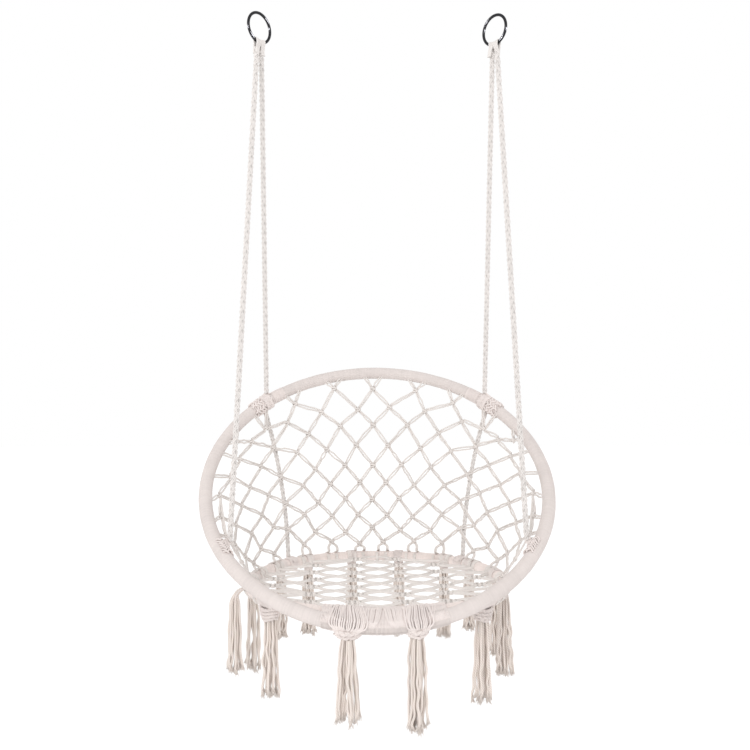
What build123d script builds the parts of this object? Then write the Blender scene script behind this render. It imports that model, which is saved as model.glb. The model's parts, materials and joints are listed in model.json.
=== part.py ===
from build123d import *
import os
from math import cos, degrees as to_degrees, radians, sin, tan

# Hanging macrame chair: a big wound hoop as the backrest, a smaller wound ring as the seat, a knotted
# net between them, four ropes up to two steel rings, and tassels round the seat.
# Millimetres. +X right, +Y to the back of the chair, +Z up. The origin is midway between the highest
# inside points of the two hanging rings, where the hooks bear.

# ---------------------------------------------------------------- driving dimensions
HANG_SPACING = 541.0        # between the two hanging rings
RING_WIRE_D = 6.6           # steel wire of a hanging ring
RING_INNER_D = 60.0
RING_TURN = 50.0            # a hanging ring's plane is turned this much about the vertical

HOOP_OUTER_D = 800.0        # backrest hoop, over its cotton cover
HOOP_COVER_D = 30.0
HOOP_STEEL_D = 25.0
HOOP_TILT = 38.8            # the hoop's plane above the horizontal, rising to the back
HOOP_CENTRE_Y = -21.0
HOOP_CENTRE_Z = -1062.0

SEAT_OUTER_D = 600.0        # seat ring, over its cotton cover
SEAT_COVER_D = 27.0
SEAT_STEEL_D = 22.0
SEAT_TILT = -1.35           # the unloaded seat drops slightly to the back
SEAT_BEHIND_HOOP = 30.6     # at the front, from the hoop's tube centre to the seat ring's
SEAT_ABOVE_HOOP = 12.4

STEEL_WALL = 1.0
COVER_GAP = 0.05            # between a steel tube and the cord wound on it

ROPE_D = 12.0               # braided suspension rope
EYE_HOLE_R = 7.6            # a rope's eye round the ring wire, with room to tip as the chair swings
EYE_ROPE_R = 4.0
EYE_SPACING = 12.0          # between the two eyes on one ring, along the wire

REAR_ROPE_ON_HOOP = 44.2    # degrees from +X in the hoop's plane
REAR_LASHING_ON_HOOP = 41.8
LOWER_ROPE_ON_HOOP = 42.3
REAR_ROPE_ON_SEAT = 41.5    # degrees from +X in the seat's plane
FRONT_ROPE_ON_HOOP = -29.7
FRONT_LASHING_ON_HOOP = -32.0
FRONT_ROPE_OFFSET = 26.0    # the front rope ends this far inside the hoop's tube centre
LOWER_ROPE_BOW = 12.0       # the net pulls the lower rear rope this far inwards at its middle
LOWER_ROPE_BEHIND_NET = 9.5

HOOP_LASHING_R = 19.0
SEAT_LASHING_R = 16.0
REAR_LASHING_LENGTH = 62.0
FRONT_LASHING_LENGTH = 42.0
SEAT_LASHING_LENGTH = 28.0

BINDING_X = (-112.0, 130.0)  # the lashing that ties the seat ring's front to the hoop
HOOP_BINDING_R = 17.0
SEAT_BINDING_R = 15.5

NET_THICKNESS = 3.0
NET_HOOP_RADIUS = 364.0
NET_HOOP_SPAN = (-27.5, 207.5)
NET_SEAT_SPAN = (-15.0, 195.0)
NET_ABOVE_SEAT_RING = 17.0
SEAT_NET_RADIUS = 270.0
SEAT_NET_THICKNESS = 4.0

HITCH_LENGTH = 22.0         # cord turns that hold a tassel on the seat ring
TASSEL_TOP_R = 9.0
TASSEL_BELOW_HITCH = 9.5    # from the hitch's underside to the point the tassel swings about
ARCHED_TASSEL = "left_side_front"   # this one bows out over the seat ring before it falls
ARCH_OUT = 24.0             # its swing point, from the seat ring's tube centre
ARCH_DROP = 16.0

# Seat ring tassels: name, degrees from +X round the seat ring, length, radius at the frayed end.
SEAT_TASSELS = [
    ("rear_right_inner", 77.5, 196.0, 18.0),
    ("rear_left_inner", 102.5, 190.0, 18.0),
    ("rear_right_middle", 52.0, 185.0, 19.0),
    ("rear_left_middle", 127.0, 177.0, 18.0),
    ("rear_right_outer", 35.5, 145.0, 15.0),
    ("rear_left_outer", 146.0, 167.0, 18.0),
    ("right_side_rear", 10.0, 178.0, 15.0),
    ("left_side_rear", 178.0, 195.0, 17.0),
    ("right_side_front", -14.0, 184.0, 20.0),
    ("left_side_front", 196.0, 175.0, 17.0),
    ("front_right", -42.0, 197.0, 20.0),
    ("front_left", 218.0, 186.0, 18.0),
]
# Centre tassels under the hoop: name, distance from the middle, length, radius at the frayed end.
CENTRE_TASSELS = [
    ("centre_left", -62.0, 158.0, 24.0),
    ("centre_right", 70.0, 177.0, 19.0),
]
KNOT_R = 14.0
KNOT_LENGTH = 50.0
KNOT_DROP = 13.0            # from the hoop's tube centre down to the knot's centre
KNOT_FORWARD = 5.0
CENTRE_TASSEL_TOP_R = 11.0
CENTRE_TASSEL_BELOW_KNOT = 11.5

# ---------------------------------------------------------------- derived places
HOOP_R = (HOOP_OUTER_D - HOOP_COVER_D) / 2
SEAT_R = (SEAT_OUTER_D - SEAT_COVER_D) / 2
RING_R = (RING_INNER_D + RING_WIRE_D) / 2
RING_CENTRE_Z = -RING_INNER_D / 2
RING_BOTTOM_Z = RING_CENTRE_Z - RING_R


def tilted_plane(y, z, tilt):
    """A plane through (0, y, z) that holds the X direction and rises to the back by tilt degrees."""
    return Plane(origin=(0, y, z), x_dir=(1, 0, 0), z_dir=(0, -sin(radians(tilt)), cos(radians(tilt))))


HOOP_PLANE = tilted_plane(HOOP_CENTRE_Y, HOOP_CENTRE_Z, HOOP_TILT)
HOOP_FRONT = HOOP_PLANE.from_local_coords(Vector(0, -HOOP_R, 0))
SEAT_FRONT = HOOP_FRONT + Vector(0, SEAT_BEHIND_HOOP, SEAT_ABOVE_HOOP)
SEAT_CENTRE = SEAT_FRONT + Vector(0, SEAT_R * cos(radians(SEAT_TILT)), SEAT_R * sin(radians(SEAT_TILT)))
SEAT_PLANE = tilted_plane(SEAT_CENTRE.Y, SEAT_CENTRE.Z, SEAT_TILT)


def on_circle(plane, radius, degrees, height=0.0):
    """A point of a circle in a plane, height above it."""
    angle = radians(degrees)
    return plane.from_local_coords(Vector(radius * cos(angle), radius * sin(angle), height))


# ---------------------------------------------------------------- shapes
def ring_sleeve(plane, radius, inner, outer, middle=0.0, span=360.0):
    """A tube bent round a circle of the plane: whole, or a stretch of span degrees about middle."""
    profile = Circle(outer) - Circle(inner) if inner else Circle(outer)
    section = Pos(radius, 0, 0) * Rot(90, 0, 0) * profile
    tube = revolve(section, axis=Axis.Z, revolution_arc=span)
    return plane.location * Rot(0, 0, middle - span / 2) * tube


def straight_rope(start, end, radius=ROPE_D / 2):
    run = end - start
    return Solid.make_cylinder(radius, run.length, Plane(origin=start, z_dir=run.normalized()))


def bent_rope(start, middle, end, radius=ROPE_D / 2):
    """Two straight runs joined by the largest tangent arc that they leave room for."""
    turn = (middle - start).get_angle(end - middle)
    shorter = min((middle - start).length, (end - middle).length)
    bend = 0.45 * shorter / tan(radians(turn) / 2)
    path = FilletPolyline(start, middle, end, radius=bend)
    section = Plane(origin=start, z_dir=(middle - start).normalized()) * Circle(radius)
    print(f"lower rear rope: bend radius {bend:.0f} mm, length {path.length:.0f} mm")
    return sweep(section, path=path)


def arc_length_span(radius, length):
    """The angle that a length takes up along a circle."""
    return to_degrees(length / radius)


def hanging_ring(side):
    """A welded steel ring standing on edge, turned about the vertical."""
    ring = Rot(0, 0, -side * RING_TURN) * Rot(90, 0, 0) * Torus(RING_R, RING_WIRE_D / 2)
    return Pos(side * HANG_SPACING / 2, 0, RING_CENTRE_Z) * ring


def wire_direction(side):
    """Along the ring wire at its lowest point, towards the chair's middle and back."""
    return Vector(-side * cos(radians(RING_TURN)), sin(radians(RING_TURN)), 0)


def eye_centre(side, is_rear):
    bottom = Vector(side * HANG_SPACING / 2, 0, RING_BOTTOM_Z)
    return bottom + wire_direction(side) * (EYE_SPACING / 2 if is_rear else -EYE_SPACING / 2)


def rope_eye(side, is_rear):
    """The loop at the top of a rope, round the ring wire."""
    place = Plane(origin=eye_centre(side, is_rear), z_dir=wire_direction(side))
    return place.location * Torus(EYE_HOLE_R + EYE_ROPE_R, EYE_ROPE_R)


def rope_from_ring(side, is_rear, end):
    """An eye and the straight rope below it, as one piece."""
    centre = eye_centre(side, is_rear)
    down = (end - centre).normalized()
    start = centre + down * (EYE_HOLE_R + EYE_ROPE_R)
    return rope_eye(side, is_rear) + straight_rope(start, end)


def mirrored(degrees, side):
    """A right-hand angle, or its mirror image on the left."""
    return degrees if side > 0 else 180.0 - degrees


def front_rope(side):
    degrees = mirrored(FRONT_ROPE_ON_HOOP, side)
    return rope_from_ring(side, False, on_circle(HOOP_PLANE, HOOP_R - FRONT_ROPE_OFFSET, degrees))


def rear_rope(side):
    tube_centre = on_circle(HOOP_PLANE, HOOP_R, mirrored(REAR_ROPE_ON_HOOP, side))
    upward = (eye_centre(side, True) - tube_centre).normalized()
    return rope_from_ring(side, True, tube_centre + upward * (HOOP_LASHING_R + 5))


def lower_rear_rope(side):
    """From the hoop's underside down the outside of the net to the seat ring."""
    on_hoop = mirrored(LOWER_ROPE_ON_HOOP, side)
    on_seat = mirrored(REAR_ROPE_ON_SEAT, side)
    top = on_circle(HOOP_PLANE, NET_HOOP_RADIUS + LOWER_ROPE_BEHIND_NET + 4, on_hoop, -HOOP_LASHING_R - 2)
    bottom = on_circle(SEAT_PLANE, SEAT_R + LOWER_ROPE_BEHIND_NET, on_seat, SEAT_LASHING_R + 1)
    middle = (top + bottom) * 0.5 + Vector(-side * LOWER_ROPE_BOW, LOWER_ROPE_BOW, 0)
    return bent_rope(top, middle, bottom)


def hoop_lashing(degrees, length):
    span = arc_length_span(HOOP_R, length)
    return ring_sleeve(HOOP_PLANE, HOOP_R, HOOP_COVER_D / 2 + COVER_GAP, HOOP_LASHING_R, degrees, span)


def seat_sleeve(degrees, length, outer):
    span = arc_length_span(SEAT_R, length)
    return ring_sleeve(SEAT_PLANE, SEAT_R, SEAT_COVER_D / 2 + COVER_GAP, outer, degrees, span)


def front_binding(plane, radius, inner, outer):
    """Cord turns round one tube along the stretch where the hoop and the seat ring are tied."""
    length = BINDING_X[1] - BINDING_X[0]
    middle = (BINDING_X[0] + BINDING_X[1]) / 2
    return ring_sleeve(plane, radius, inner, outer, -90 + arc_length_span(radius, middle),
                       arc_length_span(radius, length))


def annular_strip(plane, middle_radius, thickness, span, height):
    """A thin stretch of annulus in a plane, the edge of the net."""
    start, end = span
    inner, outer = middle_radius - thickness / 2, middle_radius + thickness / 2
    outline = [
        CenterArc((0, 0), outer, start, end - start),
        Line((inner * cos(radians(start)), inner * sin(radians(start))),
             (outer * cos(radians(start)), outer * sin(radians(start)))),
        CenterArc((0, 0), inner, start, end - start),
        Line((inner * cos(radians(end)), inner * sin(radians(end))),
             (outer * cos(radians(end)), outer * sin(radians(end)))),
    ]
    return plane.location * Pos(0, 0, height) * make_face(outline)


def back_net():
    """The knotted net as one plain curved sheet, from the hoop's inside down to the seat ring's top."""
    top = annular_strip(HOOP_PLANE, NET_HOOP_RADIUS, NET_THICKNESS, NET_HOOP_SPAN, 0)
    bottom = annular_strip(SEAT_PLANE, SEAT_R, NET_THICKNESS, NET_SEAT_SPAN, NET_ABOVE_SEAT_RING)
    return loft([bottom, top], ruled=True)


def seat_net():
    return SEAT_PLANE.location * Cylinder(SEAT_NET_RADIUS, SEAT_NET_THICKNESS)


def tassel(pivot, length, top_radius, end_radius):
    """A hanging bundle of cord ends, round at the top about its pivot, as one plain solid."""
    profile = make_face([
        CenterArc((0, 0), top_radius, 0, 90),
        Line((top_radius, 0), (end_radius, -length)),
        Line((end_radius, -length), (0, -length)),
        Line((0, -length), (0, top_radius)),
    ])
    return Pos(*pivot) * revolve(Rot(90, 0, 0) * profile, axis=Axis.Z)


def centre_knot(x):
    """A fat knot on the front and underside of the hoop, above a centre tassel."""
    span = arc_length_span(HOOP_R, x)
    tube_centre = on_circle(HOOP_PLANE, HOOP_R, -90 + span)
    centre = tube_centre + Vector(0, -KNOT_FORWARD, -KNOT_DROP)
    body = Cylinder(KNOT_R, KNOT_LENGTH, rotation=(0, 90, 0))
    body = Pos(*centre) * fillet(body.edges(), KNOT_R * 0.6)
    return body - ring_sleeve(HOOP_PLANE, HOOP_R, 0, HOOP_BINDING_R + COVER_GAP, -90 + span, 16.0)


def centre_knot_pivot(x):
    tube_centre = on_circle(HOOP_PLANE, HOOP_R, -90 + arc_length_span(HOOP_R, x))
    down = KNOT_DROP + KNOT_R + CENTRE_TASSEL_BELOW_KNOT
    return tube_centre + Vector(0, -KNOT_FORWARD, -down)


def seat_tassel_pivot(name, degrees):
    if name == ARCHED_TASSEL:
        return on_circle(SEAT_PLANE, SEAT_R + ARCH_OUT, degrees) - Vector(0, 0, ARCH_DROP)
    drop = SEAT_LASHING_R + TASSEL_BELOW_HITCH
    return on_circle(SEAT_PLANE, SEAT_R, degrees) - Vector(0, 0, drop)


# ---------------------------------------------------------------- the pieces
parts = {}

for side, name in ((-1, "left"), (1, "right")):
    parts[f"{name}_hanging_ring"] = hanging_ring(side)
    parts[f"{name}_front_rope"] = front_rope(side)
    parts[f"{name}_rear_rope"] = rear_rope(side)
    parts[f"{name}_rear_rope_lower"] = lower_rear_rope(side)
    rear = mirrored(REAR_LASHING_ON_HOOP, side)
    front = mirrored(FRONT_LASHING_ON_HOOP, side)
    parts[f"{name}_rear_hoop_lashing"] = hoop_lashing(rear, REAR_LASHING_LENGTH)
    parts[f"{name}_front_hoop_lashing"] = hoop_lashing(front, FRONT_LASHING_LENGTH)
    parts[f"{name}_seat_lashing"] = seat_sleeve(mirrored(REAR_ROPE_ON_SEAT, side), SEAT_LASHING_LENGTH,
                                                SEAT_LASHING_R)

parts["hoop_steel_tube"] = ring_sleeve(HOOP_PLANE, HOOP_R, HOOP_STEEL_D / 2 - STEEL_WALL, HOOP_STEEL_D / 2)
parts["hoop_cover"] = ring_sleeve(HOOP_PLANE, HOOP_R, HOOP_STEEL_D / 2 + COVER_GAP, HOOP_COVER_D / 2)
parts["seat_steel_tube"] = ring_sleeve(SEAT_PLANE, SEAT_R, SEAT_STEEL_D / 2 - STEEL_WALL, SEAT_STEEL_D / 2)
parts["seat_ring_cover"] = ring_sleeve(SEAT_PLANE, SEAT_R, SEAT_STEEL_D / 2 + COVER_GAP, SEAT_COVER_D / 2)
parts["hoop_front_binding"] = front_binding(HOOP_PLANE, HOOP_R, HOOP_COVER_D / 2 + COVER_GAP, HOOP_BINDING_R)
parts["seat_front_binding"] = front_binding(SEAT_PLANE, SEAT_R, SEAT_COVER_D / 2 + COVER_GAP, SEAT_BINDING_R)
parts["back_net"] = back_net()
parts["seat_net"] = seat_net()

for name, degrees, length, end_radius in SEAT_TASSELS:
    pivot = seat_tassel_pivot(name, degrees)
    parts[f"{name}_hitch"] = seat_sleeve(degrees, HITCH_LENGTH, SEAT_LASHING_R)
    parts[f"{name}_tassel"] = tassel(pivot, length, TASSEL_TOP_R, end_radius)
    print(f"{name}_tassel pivot {pivot}")

for name, x, length, end_radius in CENTRE_TASSELS:
    pivot = centre_knot_pivot(x)
    parts[f"{name}_knot"] = centre_knot(x)
    parts[f"{name}_tassel"] = tassel(pivot, length, CENTRE_TASSEL_TOP_R, end_radius)
    print(f"{name}_tassel pivot {pivot}")

os.makedirs("parts", exist_ok=True)
for name, shape in parts.items():
    export_step(shape, f"parts/{name}.step")
print(f"swing axis z {RING_BOTTOM_Z:.2f}, seat fold axis {SEAT_FRONT}, nodes {len(parts)}")
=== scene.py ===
import json
from math import acos, asin, ceil, cos, pi, radians, sin, sqrt

import bpy
import numpy as np
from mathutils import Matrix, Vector


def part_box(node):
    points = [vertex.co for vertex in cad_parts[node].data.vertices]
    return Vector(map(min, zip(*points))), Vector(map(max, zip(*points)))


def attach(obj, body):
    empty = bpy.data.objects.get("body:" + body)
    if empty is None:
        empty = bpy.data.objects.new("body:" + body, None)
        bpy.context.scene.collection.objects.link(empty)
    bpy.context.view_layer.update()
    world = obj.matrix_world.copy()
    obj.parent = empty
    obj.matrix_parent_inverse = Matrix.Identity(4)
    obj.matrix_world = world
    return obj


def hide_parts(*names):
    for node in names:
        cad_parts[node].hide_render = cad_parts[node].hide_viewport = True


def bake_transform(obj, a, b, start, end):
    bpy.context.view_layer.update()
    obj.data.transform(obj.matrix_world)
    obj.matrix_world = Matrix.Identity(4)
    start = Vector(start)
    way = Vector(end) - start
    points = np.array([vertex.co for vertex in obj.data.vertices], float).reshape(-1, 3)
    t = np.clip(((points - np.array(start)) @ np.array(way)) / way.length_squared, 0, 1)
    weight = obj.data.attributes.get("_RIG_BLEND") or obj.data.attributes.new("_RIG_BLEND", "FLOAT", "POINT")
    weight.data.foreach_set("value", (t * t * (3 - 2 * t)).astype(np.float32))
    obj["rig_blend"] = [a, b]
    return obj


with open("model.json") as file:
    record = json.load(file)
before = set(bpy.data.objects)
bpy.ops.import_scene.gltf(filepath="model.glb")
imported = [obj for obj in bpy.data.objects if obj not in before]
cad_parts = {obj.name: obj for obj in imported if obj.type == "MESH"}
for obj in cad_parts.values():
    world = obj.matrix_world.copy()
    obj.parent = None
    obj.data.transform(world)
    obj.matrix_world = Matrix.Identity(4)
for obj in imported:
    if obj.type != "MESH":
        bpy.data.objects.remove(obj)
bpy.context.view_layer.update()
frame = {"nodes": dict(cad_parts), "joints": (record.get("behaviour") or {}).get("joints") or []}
rng = np.random.default_rng(11)

# Thicknesses of the cords, in metres
NET_CORD = 0.0041
SEAT_CORD = 0.0053
ROPE_CORD = 0.0032
LOWER_ROPE_CORD = 0.0030
LOOP_CORD = 0.0034
LASH_CORD = 0.0029
FAN_CORD = 0.0032
BINDING_CORD = 0.0022

# Thickness and lay of the braided ropes
ROPE_BRAID, ROPE_LAY = 0.0136, 0.044
LOWER_BRAID, LOWER_LAY = 0.0124, 0.042

RING_WIRE_R = 0.0033
HOOP_TUBE_R = 0.015
SEAT_TUBE_R = 0.0135

# Where the ropes of the right side meet the rings, in degrees from the right; 90 is the back
FRONT_ROPE_ON_HOOP = -29.7
REAR_ROPE_ON_HOOP = 44.2
LOWER_ROPE_ON_HOOP = 42.3
LOWER_ROPE_ON_SEAT = 41.5

X_AXIS = np.array((1.0, 0.0, 0.0))
Z_AXIS = np.array((0.0, 0.0, 1.0))
SIDES = ((-1, "left"), (1, "right"))
# Tones far below the random range of -1 to 1: braid and knot cores are darkened as painted shade seen through the
# gaps between cords
PAINTED_SHADE_IN_BRAIDS = -11.0
PAINTED_SHADE_IN_KNOTS = -9.0


# ---------------------------------------------------------------- places, read from the CAD frame
def box(node):
    low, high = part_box(node)
    return np.array(low), np.array(high)


class Ring:
    """A tube bent into a circle in a plane that holds X: where its centre line is and how it leans."""

    def __init__(self, cover_node, tube_radius, lean):
        low, high = box(cover_node)
        half = (high - low) / 2
        self.tube = tube_radius
        self.centre = (low + high) / 2
        self.radius = half[0] - tube_radius
        tilt = lean * asin((half[2] - tube_radius) / self.radius)
        self.tilt_degrees = float(np.degrees(tilt))
        self.slope = np.array((0.0, cos(tilt), sin(tilt)))
        self.normal = np.array((0.0, -sin(tilt), cos(tilt)))

    def outward(self, degrees):
        a = radians(degrees)
        return X_AXIS * cos(a) + self.slope * sin(a)

    def tangent(self, degrees):
        a = radians(degrees)
        return self.slope * cos(a) - X_AXIS * sin(a)

    def point(self, degrees, radius=None, height=0.0):
        radius = self.radius if radius is None else radius
        return self.centre + self.outward(degrees) * radius + self.normal * height

    def on_tube(self, degrees, around, distance):
        """A point at a distance from the tube's centre line; around is 0 outwards, 90 above the plane."""
        a = radians(around)
        side = self.outward(degrees) * cos(a) + self.normal * sin(a)
        return self.point(degrees) + side * distance

    def at_front(self, x, height_angle, distance):
        """A point round the tube near the front; the angle is 0 straight ahead and 90 straight up."""
        return self.on_tube(-90 + np.degrees(x / self.radius), height_angle + self.tilt_degrees, distance)


hoop = Ring("hoop_cover", HOOP_TUBE_R, 1)
seat = Ring("seat_ring_cover", SEAT_TUBE_R, -1)
FRONT_BLEND = ("seat", hoop.point(-90), seat.point(-90))
BACK_BLEND = ("seat", hoop.point(90.0), seat.point(90.0))

PIVOTS = {j["child"]: np.array(j["pos_m"]) for j in frame["joints"] if j["child"].endswith("_tassel")}
SEAT_TASSELS = [n.removesuffix("_tassel") for n in PIVOTS if not n.startswith("centre_")]
CENTRE_TASSELS = ["centre_left", "centre_right"]
WIDE_TASSELS = ("front_left", "front_right")
ARCHED_TASSEL = "left_side_front"


def mirror(side_sign, degrees):
    """A right-hand angle, or its mirror image on the left."""
    return degrees if side_sign > 0 else 180.0 - degrees


# ---------------------------------------------------------------- cords
def unit(v):
    return v / np.linalg.norm(v)


def smooth(points, spacing):
    """A smooth line through the points, sampled about every spacing."""
    p = np.asarray(points, float)
    p = np.vstack([2 * p[0] - p[1], p, 2 * p[-1] - p[-2]])
    line = []
    for i in range(1, len(p) - 2):
        count = max(2, ceil(np.linalg.norm(p[i + 1] - p[i]) / spacing))
        t = (np.arange(count) / count)[:, None]
        a, b, c, d = p[i - 1], p[i], p[i + 1], p[i + 2]
        line.append(0.5 * (2 * b + (c - a) * t + (2 * a - 5 * b + 4 * c - d) * t**2
                           + (3 * b - 3 * c + d - a) * t**3))
    return np.vstack(line + [p[-2][None]])


def lengths_along(line):
    return np.concatenate([[0], np.cumsum(np.linalg.norm(np.diff(line, axis=0), axis=1))])


def transport(line, start=None):
    """Two side directions at each point of a line, carried along it without twist."""
    tangent = np.gradient(line, axis=0)
    tangent /= np.linalg.norm(tangent, axis=1)[:, None]
    if start is None:
        start = X_AXIS if abs(tangent[0][0]) < 0.8 else Z_AXIS
    side = np.empty_like(line)
    v = np.asarray(start, float)
    for i, t in enumerate(tangent):
        v = v - t * (v @ t)
        v = v / sqrt(v @ v)
        side[i] = v
    return side, np.cross(tangent, side)


class Cords:
    """Swept cords collected into one mesh. UVs run in metres along each cord and from 0 to 1 around it."""

    def __init__(self):
        self.points, self.quads, self.uvs, self.tones = [], [], [], []
        self.caps = []
        self.total = 0

    def add(self, line, radius, sides=8, tone=None):
        """A round cord along a line, of one radius or one for each point."""
        line = np.asarray(line, float)
        n = len(line)
        side, other = transport(line)
        radius = np.broadcast_to(np.asarray(radius, float), (n,))
        angle = np.arange(sides) * 2 * pi / sides
        ring = (side[:, None, :] * np.cos(angle)[None, :, None]
                + other[:, None, :] * np.sin(angle)[None, :, None]) * radius[:, None, None]
        length = lengths_along(line) + rng.uniform(0, 0.05)
        i, j = np.meshgrid(np.arange(n - 1), np.arange(sides), indexing="ij")
        k = (j + 1) % sides
        quads = np.stack([i * sides + j, i * sides + k, (i + 1) * sides + k, (i + 1) * sides + j], -1)
        u = np.stack([length[i], length[i], length[i + 1], length[i + 1]], -1)
        v = np.stack([j, j + 1, j + 1, j], -1) / sides
        tones = np.full(n * sides, rng.uniform(-1, 1) if tone is None else tone)
        first = np.arange(sides)[::-1] + self.total
        last = np.arange(sides) + self.total + (n - 1) * sides
        self.caps += [first, last]
        self.add_surface((line[:, None, :] + ring).reshape(-1, 3), quads.reshape(-1, 4),
                         np.stack([u, v], -1).reshape(-1, 2), tones)

    def add_surface(self, points, quads, uvs, tones):
        self.points.append(points)
        self.quads.append(quads + self.total)
        self.uvs.append(uvs)
        self.tones.append(tones)
        self.total += len(points)

    def build(self, name, material):
        points = np.vstack(self.points)
        quads = np.vstack(self.quads)
        cap_loops = np.concatenate(self.caps) if self.caps else np.empty(0, int)
        cap_sizes = np.array([len(c) for c in self.caps], int)
        loops = np.concatenate([quads.ravel(), cap_loops])
        sizes = np.concatenate([np.full(len(quads), 4), cap_sizes]).astype(int)
        starts = np.concatenate([[0], np.cumsum(sizes)[:-1]])
        mesh = bpy.data.meshes.new(name)
        mesh.vertices.add(len(points))
        mesh.vertices.foreach_set("co", points.astype(np.float32).ravel())
        mesh.loops.add(len(loops))
        mesh.loops.foreach_set("vertex_index", loops.astype(np.int32))
        mesh.polygons.add(len(sizes))
        mesh.polygons.foreach_set("loop_start", starts.astype(np.int32))
        mesh.polygons.foreach_set("use_smooth", np.ones(len(sizes), bool))
        mesh.update(calc_edges=True)
        uvs = np.zeros((len(loops), 2), np.float32)
        uvs[:len(quads) * 4] = np.vstack(self.uvs)
        mesh.uv_layers.new(name="along").data.foreach_set("uv", uvs.ravel())
        tone = mesh.attributes.new("tone", "FLOAT", "POINT")
        tone.data.foreach_set("value", np.concatenate(self.tones).astype(np.float32))
        mesh.materials.append(material)
        mesh.validate()
        obj = bpy.data.objects.new(name, mesh)
        bpy.context.scene.collection.objects.link(obj)
        return obj


def finish_piece(cords, name, material, body, nodes=(), blend=None):
    """Builds a piece, hides the CAD nodes it stands for, and puts it on its body or between two."""
    obj = cords.build(name, material)
    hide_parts(*nodes)
    if blend is None:
        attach(obj, body)
    else:
        other, start, end = blend
        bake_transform(obj, body, other, start=tuple(start), end=tuple(end))
    return obj


def share_between_rings(obj):
    """Makes a piece's points follow the hoop where they are on it, the seat ring where they are on that one,
    and in between by how far they are from each."""
    co = np.empty(len(obj.data.vertices) * 3, np.float32)
    obj.data.vertices.foreach_get("co", co)
    co = co.reshape(-1, 3).astype(float)
    gaps = []
    for ring, grip in ((hoop, 0.020), (seat, 0.022)):
        v = co - ring.centre
        height = v @ ring.normal
        out = np.hypot(v @ X_AXIS, v @ ring.slope) - ring.radius
        gaps.append(np.maximum(0.0, np.hypot(height, out) - grip))
    weight = gaps[0] / np.maximum(1e-9, gaps[0] + gaps[1])
    attribute = obj.data.attributes.get("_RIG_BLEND")
    if attribute is not None:
        attribute.data.foreach_set("value", weight.astype(np.float32))


# ---------------------------------------------------------------- materials
class NodeMaterial:
    """A new node material, with short ways to add nodes to it."""

    def __init__(self, name):
        self.material = bpy.data.materials.new(name)
        self.material.use_nodes = True
        self.nodes = self.material.node_tree.nodes
        self.links = self.material.node_tree.links
        self.shader = self.nodes["Principled BSDF"]

    def math(self, kind, a, b=None):
        node = self.nodes.new("ShaderNodeMath")
        node.operation = kind
        for socket, value in zip(node.inputs, (a, b)):
            if isinstance(value, (int, float)):
                socket.default_value = value
            elif value is not None:
                self.links.new(value, socket)
        return node.outputs[0]

    def noise(self, scale, detail):
        place = self.nodes.new("ShaderNodeTexCoord")
        node = self.nodes.new("ShaderNodeTexNoise")
        node.inputs["Scale"].default_value = scale
        node.inputs["Detail"].default_value = detail
        self.links.new(place.outputs["Object"], node.inputs["Vector"])
        return node.outputs[0]

    def bump(self, height, strength, distance):
        node = self.nodes.new("ShaderNodeBump")
        node.inputs["Strength"].default_value = strength
        node.inputs["Distance"].default_value = distance
        self.links.new(height, node.inputs["Height"])
        self.links.new(node.outputs[0], self.shader.inputs["Normal"])

    def set(self, **values):
        for name, value in values.items():
            self.shader.inputs[name.replace("_", " ")].default_value = value


def cotton(name, colour, painted_groove_shade, lay=0.009, plies=3, ply_depth=0.00035, fluff=0.5):
    """Twisted cotton cord: plies that wind round it, fibre over them, and cream that varies cord by cord. The
    colour is painted darker towards the grooves between the plies, as painted shade.
    """
    m = NodeMaterial(name)
    uv = m.nodes.new("ShaderNodeUVMap")
    uv.uv_map = "along"
    split = m.nodes.new("ShaderNodeSeparateXYZ")
    m.links.new(uv.outputs[0], split.inputs[0])
    phase = m.math("ADD", m.math("MULTIPLY", split.outputs[0], 1.0 / lay), split.outputs[1])
    ply = m.math("ABSOLUTE", m.math("SINE", m.math("MULTIPLY", phase, plies * pi)))
    fibre = m.noise(1400.0, 3.0)
    patch = m.noise(26.0, 4.0)

    # painted shade: the colour runs from the cream to the darker groove colour where the plies dip
    shade = m.nodes.new("ShaderNodeMix")
    shade.data_type = "RGBA"
    shade.inputs["A"].default_value = (*painted_groove_shade, 1)
    shade.inputs["B"].default_value = (*colour, 1)
    lit = m.math("POWER", ply, 0.45)
    speck = m.math("MULTIPLY", m.math("SUBTRACT", fibre, 0.5), fluff)
    m.links.new(m.math("ADD", lit, speck), shade.inputs["Factor"])

    tone = m.nodes.new("ShaderNodeAttribute")
    tone.attribute_name = "tone"
    cloud = m.math("MULTIPLY", m.math("SUBTRACT", patch, 0.5), 0.16)
    # The tone attribute varies the cream at random cord by cord; on braid and knot cores it is set far lower, as
    # painted shade.
    own = m.math("MULTIPLY", tone.outputs["Fac"], 0.025)
    varied = m.nodes.new("ShaderNodeHueSaturation")
    m.links.new(shade.outputs["Result"], varied.inputs["Color"])
    m.links.new(m.math("ADD", m.math("ADD", cloud, own), 1.0), varied.inputs["Value"])
    m.links.new(varied.outputs[0], m.shader.inputs["Base Color"])

    m.bump(m.math("ADD", lit, m.math("MULTIPLY", fibre, 0.35)), 1.0, ply_depth)
    m.set(Roughness=0.92, Specular_IOR_Level=0.12)
    return m.material


def steel(name, colour, roughness, scratch):
    """Bare metal whose gloss varies a little."""
    m = NodeMaterial(name)
    m.set(Base_Color=(*colour, 1), Metallic=1.0)
    noise = m.noise(220.0, 5.0)
    m.links.new(m.math("ADD", m.math("MULTIPLY", noise, scratch), roughness), m.shader.inputs["Roughness"])
    m.bump(noise, 0.15, 0.0001)
    return m.material


# The second colour of each cotton is the painted shade of its ply grooves; the tassel's is darkest, as painted
# shade for the dark gaps among its strands.
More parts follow.
